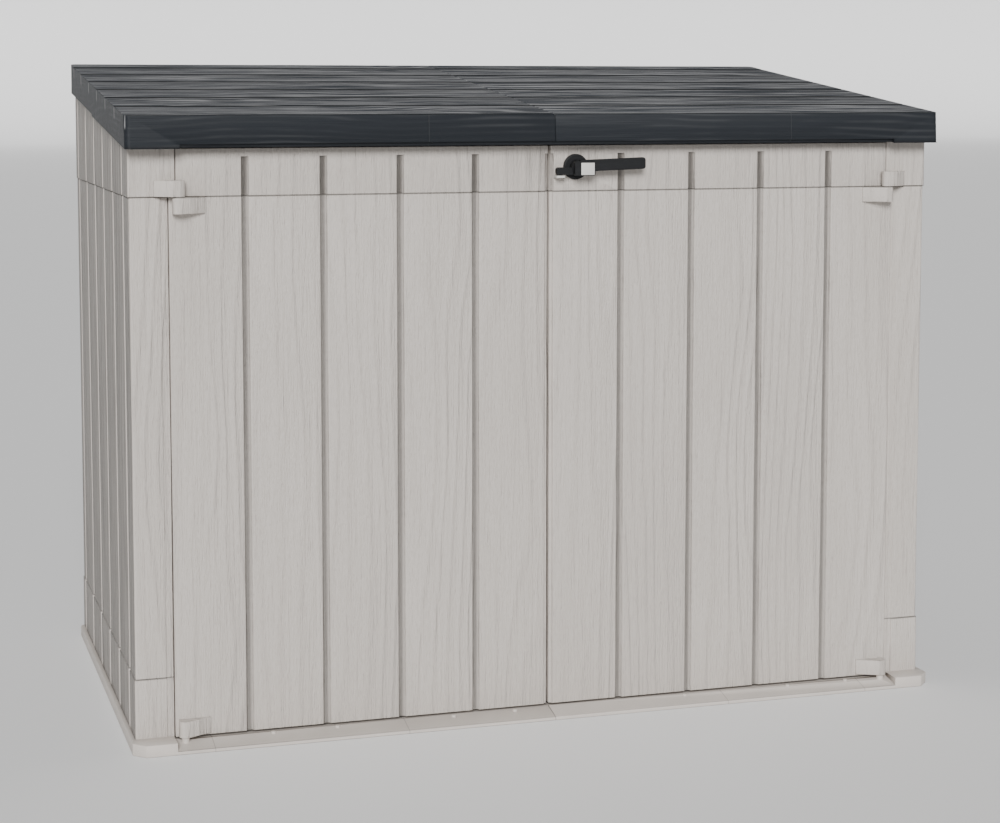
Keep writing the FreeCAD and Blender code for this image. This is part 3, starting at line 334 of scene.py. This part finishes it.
def wall_resin():
    """Warm grey resin with embossed grain up each board, painted shade on side faces and shadow in sunk
    lines.
    """
    finish = Finish("wall resin")
    base = colours().wall
    x, y, z = finish.split(finish.object)
    across = x + y
    board = (x / DOOR_PITCH).floor() * 3.7 + ((y - SIDE_FIRST) / SIDE_PITCH).floor() * 5.3
    rings = wood_rings(finish, z, across, board, 1.1, 7.0, 46.0, 0.030)
    lines = rings.power(3.0)
    fibre = finish.noise(finish.join(across * 260 + board, z * 14, board), 1.0, 5.0, 0.65)
    pores = finish.noise(finish.join(across * 600, z * 90, board), 1.0, 3.0, 0.6)
    patch = finish.noise(finish.join(across * 3.0, z * 1.4, board), 1.0, 3.0, 0.5)
    speck = finish.noise(finish.object, 900.0, 2.0, 0.6)
    # Side faces: their colour carries painted shade, darker than the front, as the light grazes them
    shade_painted_side = (finish.split(finish.facing)[0] * x).above(0.66)
    coarse = finish.noise(finish.join(across * 130 + board, z * 4.5, board), 1.0, 4.0, 0.6, 0.3)
    shade = coarse.ramp(0.36, 0.66, 0.0, 0.5) + lines * 0.38 + pores.ramp(0.5, 0.8, 0.0, 0.25)
    joint = line_at(z, SEAM_Z, 0.0013) + line_at(z, SKIRT_Z, 0.0011) * x.size().above(POST_EDGE)
    body = finish.mix(patch.ramp(0.25, 0.75), rgba(base, 1.03), rgba(base, 0.94))
    # painted shade: the side faces are darkened towards 0.6 of the base colour
    body = finish.mix(shade_painted_side * 0.9, body, rgba(base, 0.60))
    # painted shade: the grain on the side faces is drawn darker and stronger, as grazing light would show
    # it
    fine = (lines * 0.5 + coarse.ramp(0.44, 0.58, 0.0, 0.6)) * shade_painted_side
    grained = finish.mix(shade * (shade_painted_side * 0.16 + 0.10), body, rgba(base, 0.42))
    grained = finish.mix(fine.ramp(0.1, 0.9) * 0.52, grained, rgba(base, 0.26))
    beside = (x / DOOR_PITCH - (x / DOOR_PITCH + 0.5).floor()) * DOOR_PITCH
    sunk = (y.size() * -1 + FACE_DEPTH).ramp(0.0004, 0.0020) * x.size().above(CENTRE_EDGE) * (1 - shade_painted_side)
    sunk = sunk * (1 - x.size().above(DOOR_EDGE) * (y * -1).above(0.0))
    shadow = beside.ramp(-0.0075, -0.0050) * beside.ramp(-0.001, 0.0075, 1.0, 0.12) * sunk
    grained = finish.mix(shadow * 0.75, grained, rgba(base, 0.18))
    grained = finish.mix(joint * 0.6, grained, rgba(base, 0.30))
    foot = z.ramp(0.0, 0.16, 0.10, 0.0) * finish.noise(finish.object, 14.0, 4.0, 0.6)
    finish.set(base_color=finish.mix(foot, grained, rgba(base, 0.60)))
    finish.set(roughness=fibre * 0.16 + speck * 0.10 + 0.42)
    finish.set(specular_ior_level=0.42)
    height = lines * 0.55 + coarse * 0.9 + fibre * 0.9 + pores * 0.55 + speck * 0.12 - joint
    finish.relief(height, 1.0, 0.0030)
    return finish.material


def floor_resin():
    """The same resin without the boards: a fine sparked texture with joints across the ramp."""
    finish = Finish("floor resin")
    base = colours().wall
    x, y, z = finish.split(finish.object)
    spark = finish.noise(finish.object, 1100.0, 3.0, 0.6)
    patch = finish.noise(finish.object, 5.0, 4.0, 0.55)
    joints = lines_at(x, RAMP_JOINTS)
    dust = z.ramp(0.0, 0.02, 0.30, 0.0) * finish.noise(finish.object, 30.0, 4.0, 0.6)
    body = finish.mix(patch.ramp(0.3, 0.7), rgba(base, 1.03), rgba(base, 0.96))
    dusty = finish.mix(dust, body, rgba(base, 0.62))
    finish.set(base_color=finish.mix(joints * 0.55, dusty, rgba(base, 0.35)))
    finish.set(roughness=spark * 0.14 + 0.44)
    finish.set(specular_ior_level=0.42)
    finish.relief(spark * 0.25 - joints * 1.4, 0.35, 0.0006)
    return finish.material


def lid_resin():
    """Anthracite resin: pale streaks with painted sheen along the top planks, a quiet wavy grain on the
    edges.
    """
    finish = Finish("lid resin")
    # pale is the grain colour on the edges and the painted sheen of the top streaks
    dark, pale = colours().lid, colours().lid_streak_sheen
    x, y, z = finish.split(finish.object)
    face = finish.split(finish.facing)
    on_top = face[2].ramp(0.55, 0.85)
    on_end = face[0].size().ramp(0.7, 0.9)
    across = y + z * 0.9
    planks = (y - LID_FIRST) / LID_PITCH
    plank = planks.floor() * 4.1 + x.above(0.0) * 2.3
    inside = (planks - planks.floor()) * LID_PITCH
    rings = wood_rings(finish, x, across, plank, 2.2, 9.0, 40.0, 0.022)
    thread = finish.noise(finish.join(x * 4.5, across * 190 + plank, plank), 1.0, 4.0, 0.6, 0.2)
    fibre = finish.noise(finish.join(x * 9, across * 620 + plank, plank), 1.0, 5.0, 0.65)
    speck = finish.noise(finish.object, 800.0, 2.0, 0.6)
    streak = thread.ramp(0.42, 0.60) * 0.58 + rings.power(2.0) * 0.40 + fibre.ramp(0.38, 0.66) * 0.24
    # painted shadow: a dark band near the end of each plank at its lap, and a thin one at its start
    lap_shadow = inside.ramp(LID_PITCH - 0.019, LID_PITCH - 0.013) + inside.ramp(0.0, 0.0030, 1.0, 0.0)
    # painted sheen: the top is lifted to 1.9 times the edge anthracite and streaked pale, as grazing light
    # shows it
    top_grain_sheen = finish.mix(streak.ramp(0.30, 1.05), rgba(dark, 1.9), rgba(pale))
    top = finish.mix(lap_shadow.ramp(0.0, 1.0) * 0.95, top_grain_sheen, rgba(dark, 0.3))
    waves = wood_rings(finish, x + y, z, 7.0, 2.6, 12.0, 22.0, 0.0105).power(2.5)
    faded = finish.noise(finish.join(x * 5, y * 5, z * 22), 1.0, 3.0, 0.5).ramp(0.4, 0.7)
    edge = finish.mix(waves * (faded * 0.16 + 0.02), rgba(dark), rgba(pale, 0.40))
    drop = (y - LID_FRONT) * LID_RISE + LID_FRONT_TOP - z
    tick = line_at(inside, LID_PITCH - 0.003, 0.0022) * drop.ramp(0.024, 0.016, 0.0, 1.0) * on_end
    ticked = finish.mix(tick, edge, rgba(pale, 1.2))
    # painted shade: every non-top, non-end face of the lid below the cut-out height, the recessed lip, is
    # darkened
    under = z.ramp(*LID_CUT, 0.85, 0.0) * (1 - on_end)
    moulding = lines_at(x, LID_MOULD_LINES) * (1 - on_top) * (1 - on_end)
    lined = finish.mix(moulding * 0.10, ticked, rgba(pale, 0.5))
    edged = finish.mix(under * (1 - on_top), lined, rgba(dark, 0.35))
    # the top faces take the streaks with painted sheen and lap shadow
    finish.set(base_color=finish.mix(on_top, edged, top))
    finish.set(roughness=fibre * 0.20 + speck * 0.10 + on_top * 0.14 + 0.40)
    finish.set(specular_ior_level=0.22)
    finish.relief(rings * 0.5 + fibre * 0.9 + thread * 0.5 + speck * 0.10 - moulding, 0.75, 0.0010)
    return finish.material


def grip_plastic():
    """Satin black moulding with a fine spark and paler worn streaks along the lever."""
    finish = Finish("grip plastic")
    base = colours().grip
    x, y, z = finish.split(finish.object)
    spark = finish.noise(finish.object, 1600.0, 3.0, 0.6)
    rub = finish.noise(finish.join(x * 30, y * 60, z * 240), 1.0, 4.0, 0.6)
    finish.set(base_color=finish.mix(rub.ramp(0.45, 0.8, 0.0, 0.55), rgba(base), rgba(base, 2.4)))
    finish.set(roughness=spark * 0.15 + rub * 0.12 + 0.38)
    finish.set(specular_ior_level=0.30)
    finish.relief(spark, 0.22, 0.0004)
    return finish.material


def cap_plastic():
    """Light grey moulding with a fine spark and a little soil."""
    finish = Finish("cap plastic")
    base = colours().cap
    spark = finish.noise(finish.object, 1800.0, 3.0, 0.6)
    soil = finish.noise(finish.object, 160.0, 4.0, 0.6)
    finish.set(base_color=finish.mix(soil.ramp(0.5, 0.8, 0.0, 0.5), rgba(base), rgba(base, 0.8)))
    finish.set(roughness=spark * 0.12 + 0.36)
    finish.relief(spark, 0.15, 0.0003)
    return finish.material


def zinc_steel():
    """Zinc plate: broad crystals, a faint rolling direction and dull spots."""
    finish = Finish("zinc steel")
    x, y, z = finish.split(finish.object)
    cells = finish.node("ShaderNodeTexVoronoi", {}, {"Vector": finish.object, "Scale": 260.0})
    crystal = finish.output(cells, "Color")
    tone = finish.split(crystal)[0]
    brushed = finish.noise(finish.join(x * 40, y * 900, z * 900), 1.0, 3.0, 0.6)
    dull = finish.noise(finish.object, 60.0, 4.0, 0.6)
    bright = finish.mix(tone * 0.5, (0.50, 0.51, 0.52, 1.0), (0.66, 0.67, 0.68, 1.0))
    finish.set(base_color=finish.mix(dull.ramp(0.5, 0.8, 0.0, 0.6), bright, (0.36, 0.36, 0.35, 1.0)))
    finish.set(metallic=1.0)
    finish.set(roughness=tone * 0.12 + brushed * 0.15 + dull * 0.12 + 0.20)
    finish.relief(brushed, 0.08, 0.0003)
    return finish.material


def strut_paint():
    """Gloss black paint with scuffs."""
    finish = Finish("strut paint")
    peel = finish.noise(finish.object, 420.0, 3.0, 0.5)
    scuff = finish.noise(finish.object, 45.0, 5.0, 0.7)
    finish.set(base_color=finish.mix(scuff.ramp(0.6, 0.8), (0.016, 0.016, 0.018, 1), (0.05, 0.05, 0.05, 1)))
    finish.set(roughness=scuff * 0.25 + 0.22)
    finish.set(coat_weight=0.3)
    finish.relief(peel, 0.12, 0.0004)
    return finish.material


def strut_chrome():
    """Polished rod with fine scratches and an oil film."""
    finish = Finish("strut chrome")
    x, y, z = finish.split(finish.object)
    scratch = finish.noise(finish.join(x * 900, y * 300, z * 300), 1.0, 3.0, 0.6)
    oil = finish.noise(finish.object, 70.0, 4.0, 0.6)
    finish.set(base_color=finish.mix(oil, (0.74, 0.74, 0.75, 1), (0.60, 0.60, 0.61, 1)))
    finish.set(metallic=1.0)
    finish.set(roughness=scratch * 0.10 + oil * 0.10 + 0.06)
    finish.relief(scratch, 0.03, 0.0002)
    return finish.material


MADE = {}
RECIPES = {
    "wall_resin": wall_resin,
    "floor_resin": floor_resin,
    "lid_resin": lid_resin,
    "handle_black": grip_plastic,
    "light_cap": cap_plastic,
    "zinc_steel": zinc_steel,
    "strut_black": strut_paint,
    "strut_chrome": strut_chrome,
}


def finish_named(name):
    """A finish is made once, when the first piece asks for it."""
    if name not in MADE:
        MADE[name] = RECIPES[name]()
    return MADE[name]


def coat(piece, name):
    """Gives every slot of a piece the named finish."""
    material = finish_named(name)
    if not piece.material_slots:
        piece.data.materials.append(material)
    for place in piece.material_slots:
        place.material = material


# ---------------------------------------------------------------- modelling by hand
def alone(piece):
    """Selects one piece and makes it active."""
    if bpy.context.mode != "OBJECT":
        bpy.ops.object.mode_set(mode="OBJECT")
    bpy.ops.object.select_all(action="DESELECT")
    piece.select_set(True)
    bpy.context.view_layer.objects.active = piece


def pick_edges(piece, wanted):
    """Selects, in edit mode, the edges that wanted() accepts, and counts them."""
    mesh = bmesh.from_edit_mesh(piece.data)
    for part in (mesh.faces, mesh.edges, mesh.verts):
        for item in part:
            item.select = False
    chosen = [edge for edge in mesh.edges if wanted(edge)]
    for edge in chosen:
        edge.select = True
        for corner in edge.verts:
            corner.select = True
    bmesh.update_edit_mesh(piece.data)
    return len(chosen)


def sharp_and_long(least):
    """A test for the sharp edges that are longer than least."""

    def wanted(edge):
        if len(edge.link_faces) != 2:
            return False
        return edge.calc_length() > least and edge.calc_face_angle(0.0) > math.radians(40)

    return wanted


def soften(node, radius):
    """A copy of a CAD node whose long edges are rounded as a mould leaves them."""
    source = frame["nodes"][node]
    piece = bpy.data.objects.new("soft_" + node, source.data.copy())
    bpy.context.scene.collection.objects.link(piece)
    alone(piece)
    bpy.ops.object.mode_set(mode="EDIT")
    bpy.ops.mesh.select_mode(type="EDGE")
    bpy.ops.mesh.select_all(action="SELECT")
    bpy.ops.mesh.remove_doubles(threshold=0.00001)
    bpy.ops.mesh.select_all(action="SELECT")
    bpy.ops.mesh.dissolve_limited(angle_limit=math.radians(0.4))
    if pick_edges(piece, sharp_and_long(sizes().long_edge)) == 0:
        raise RuntimeError(node + " has no long edge to round")
    bpy.ops.mesh.bevel(offset=radius, segments=2, profile=0.5, affect="EDGES", clamp_overlap=False)
    bpy.ops.object.mode_set(mode="OBJECT")
    bpy.ops.object.shade_smooth_by_angle(angle=math.radians(32))
    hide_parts(node)
    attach(piece, BODY_OF[node])
    return piece


# ---------------------------------------------------------------- operators
class BoxOperator:
    """What the operators share"""

    bl_options = {"REGISTER", "UNDO"}


class STORAGE_OT_walls(BoxOperator, bpy.types.Operator):
    """Soft-edged side walls and the unsoftened back, in grained resin"""

    bl_idname = "storage_box.walls"
    bl_label = "Walls"

    def execute(self, context):
        for node in WALLS:
            coat(soften(node, sizes().edge), "wall_resin")
        for node in BACKS:
            coat(frame["nodes"][node], "wall_resin")
        return {"FINISHED"}


class STORAGE_OT_doors(BoxOperator, bpy.types.Operator):
    """Soft-edged doors, in grained resin"""

    bl_idname = "storage_box.doors"
    bl_label = "Doors"

    def execute(self, context):
        for node in DOORS:
            coat(soften(node, sizes().edge), "wall_resin")
        return {"FINISHED"}


class STORAGE_OT_floor(BoxOperator, bpy.types.Operator):
    """Floor tray with its ramp"""

    bl_idname = "storage_box.floor"
    bl_label = "Floor"

    def execute(self, context):
        for node in FLOORS:
            coat(soften(node, sizes().edge), "floor_resin")
        return {"FINISHED"}


class STORAGE_OT_lid(BoxOperator, bpy.types.Operator):
    """Soft-edged lid halves"""

    bl_idname = "storage_box.lid"
    bl_label = "Lid"

    def execute(self, context):
        for node in LIDS:
            coat(soften(node, sizes().lid_edge), "lid_resin")
        return {"FINISHED"}


class STORAGE_OT_latch(BoxOperator, bpy.types.Operator):
    """Lever, round plate, square cap and padlock tab"""

    bl_idname = "storage_box.latch"
    bl_label = "Latch"

    def execute(self, context):
        coat(frame["nodes"]["escutcheon"], "handle_black")
        coat(frame["nodes"]["lever_handle"], "handle_black")
        coat(frame["nodes"]["bolt_guides"], "handle_black")
        coat(soften("lever_cap", 0.0004), "light_cap")
        coat(frame["nodes"]["padlock_lug"], "light_cap")
        return {"FINISHED"}


class STORAGE_OT_hardware(BoxOperator, bpy.types.Operator):
    """Zinc-plated steel parts and the gas struts"""

    bl_idname = "storage_box.hardware"
    bl_label = "Hardware"

    def execute(self, context):
        for node in ZINC:
            coat(frame["nodes"][node], "zinc_steel")
        for side in SIDES:
            coat(frame["nodes"]["strut_cylinder_" + side], "strut_black")
            coat(frame["nodes"]["strut_rod_" + side], "strut_chrome")
        return {"FINISHED"}


class STORAGE_OT_studs(BoxOperator, bpy.types.Operator):
    """Small domed studs on the ramp, under the doors"""

    bl_idname = "storage_box.studs"
    bl_label = "Ramp studs"

    def execute(self, context):
        radius, height = sizes().stud_radius, sizes().stud_height
        bpy.ops.object.select_all(action="DESELECT")
        base = Vector((STUD_X[0], STUD_Y, STUD_Z))
        bpy.ops.mesh.primitive_cylinder_add(vertices=20, radius=radius, depth=height, location=base)
        stud = context.object
        stud.name = "ramp_stud_1"
        alone(stud)
        bpy.ops.object.mode_set(mode="EDIT")
        bpy.ops.mesh.select_mode(type="EDGE")

        def top_rim(edge):
            return all(corner.co.z > height * 0.4 for corner in edge.verts)

        if pick_edges(stud, top_rim) == 0:
            raise RuntimeError("the stud has no top rim")
        bpy.ops.mesh.bevel(offset=radius * 0.35, segments=3, affect="EDGES")
        bpy.ops.object.mode_set(mode="OBJECT")
        bpy.ops.object.transform_apply(location=True, rotation=True, scale=True)
        bpy.ops.object.shade_smooth_by_angle(angle=math.radians(40))
        studs = [stud]
        for count, x in enumerate(STUD_X[1:], start=2):
            twin = bpy.data.objects.new(f"ramp_stud_{count}", stud.data.copy())
            for corner in twin.data.vertices:
                corner.co.x += x - STUD_X[0]
            context.scene.collection.objects.link(twin)
            studs.append(twin)
        for piece in studs:
            coat(piece, "floor_resin")
            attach(piece, BODY_OF["floor_left"])
        return {"FINISHED"}


class STORAGE_OT_stage(BoxOperator, bpy.types.Operator):
    """Pale floor that folds up far behind, one soft sun, pale air and the camera"""

    bl_idname = "storage_box.stage"
    bl_label = "Stage"

    def execute(self, context):
        bpy.ops.object.select_all(action="DESELECT")
        bpy.ops.mesh.primitive_plane_add(size=STAGE_SIZE, location=(0.0, 0.0, -0.0005))
        ground = context.object
        ground.name = "studio_floor"
        bpy.ops.object.mode_set(mode="EDIT")
        bpy.ops.mesh.select_mode(type="EDGE")

        def at_back(edge):
            return all(corner.co.y > STAGE_SIZE * 0.49 and corner.co.z < 0.01 for corner in edge.verts)

        if pick_edges(ground, at_back) == 0:
            raise RuntimeError("the studio floor has no back edge")
        bpy.ops.mesh.extrude_region_move(TRANSFORM_OT_translate={"value": (0.0, 0.0, STAGE_BACK)})
        bpy.ops.mesh.select_all(action="DESELECT")
        if pick_edges(ground, at_back) == 0:
            raise RuntimeError("the studio floor has no fold")
        bpy.ops.mesh.bevel(offset=STAGE_FOLD, segments=16, affect="EDGES")
        bpy.ops.object.mode_set(mode="OBJECT")
        bpy.ops.object.transform_apply(location=True, rotation=True, scale=True)
        bpy.ops.object.shade_smooth()
        paper = Finish("studio paper")
        tooth = paper.noise(paper.object, 40.0, 3.0, 0.5)
        pale = rgba(colours().floor_tone)
        paper.set(base_color=paper.mix(tooth * 0.1, pale, rgba(colours().floor_tone, 0.97)), roughness=0.95)
        ground.data.materials.append(paper.material)
        world = bpy.data.worlds.new("studio air")
        world.use_nodes = True
        air = world.node_tree.nodes["Background"]
        air.inputs["Color"].default_value = (1.0, 1.0, 1.0, 1.0)
        air.inputs["Strength"].default_value = AIR_STRENGTH
        context.scene.world = world
        sun = bpy.data.lights.new("daylight", "SUN")
        sun.energy = SUN_ENERGY
        sun.angle = SUN_ANGLE
        lamp = bpy.data.objects.new("daylight", sun)
        lamp.rotation_euler = SUN_WAY.to_track_quat("-Z", "Y").to_euler()
        context.scene.collection.objects.link(lamp)
        lens = bpy.data.cameras.new("camera")
        lens.lens = LENS
        lens.sensor_width = SENSOR
        lens.shift_y = SHIFT
        camera = bpy.data.objects.new("camera", lens)
        camera.location = CAMERA_PLACE
        camera.rotation_euler = CAMERA_TURN
        context.scene.collection.objects.link(camera)
        context.scene.camera = camera
        return {"FINISHED"}


OPERATORS = (
    STORAGE_OT_walls,
    STORAGE_OT_doors,
    STORAGE_OT_floor,
    STORAGE_OT_lid,
    STORAGE_OT_latch,
    STORAGE_OT_hardware,
    STORAGE_OT_studs,
    STORAGE_OT_stage,
)


class STORAGE_PT_panel(bpy.types.Panel):
    """Sizes, colours and pieces of the storage box"""

    bl_idname = "STORAGE_PT_panel"
    bl_label = "Storage box"
    bl_space_type = "VIEW_3D"
    bl_region_type = "UI"
    bl_category = "Storage box"

    def draw(self, context):
        for group in (sizes(), colours()):
            for name in group.bl_rna.properties.keys():
                if name not in ("rna_type", "name"):
                    self.layout.prop(group, name)
        for operator in OPERATORS:
            self.layout.operator(operator.bl_idname)


CLASSES = (BoxSizes, BoxColours, *OPERATORS, STORAGE_PT_panel)


def register():
    for item in CLASSES:
        bpy.utils.register_class(item)
    bpy.types.Scene.storage_box_sizes = PointerProperty(type=BoxSizes)
    bpy.types.Scene.storage_box_colours = PointerProperty(type=BoxColours)


def unregister():
    del bpy.types.Scene.storage_box_colours
    del bpy.types.Scene.storage_box_sizes
    for item in reversed(CLASSES):
        bpy.utils.unregister_class(item)


def main():
    register()
    for operator in OPERATORS:
        group, name = operator.bl_idname.split(".")
        getattr(getattr(bpy.ops, group), name)()


if __name__ == "__main__":
    main()
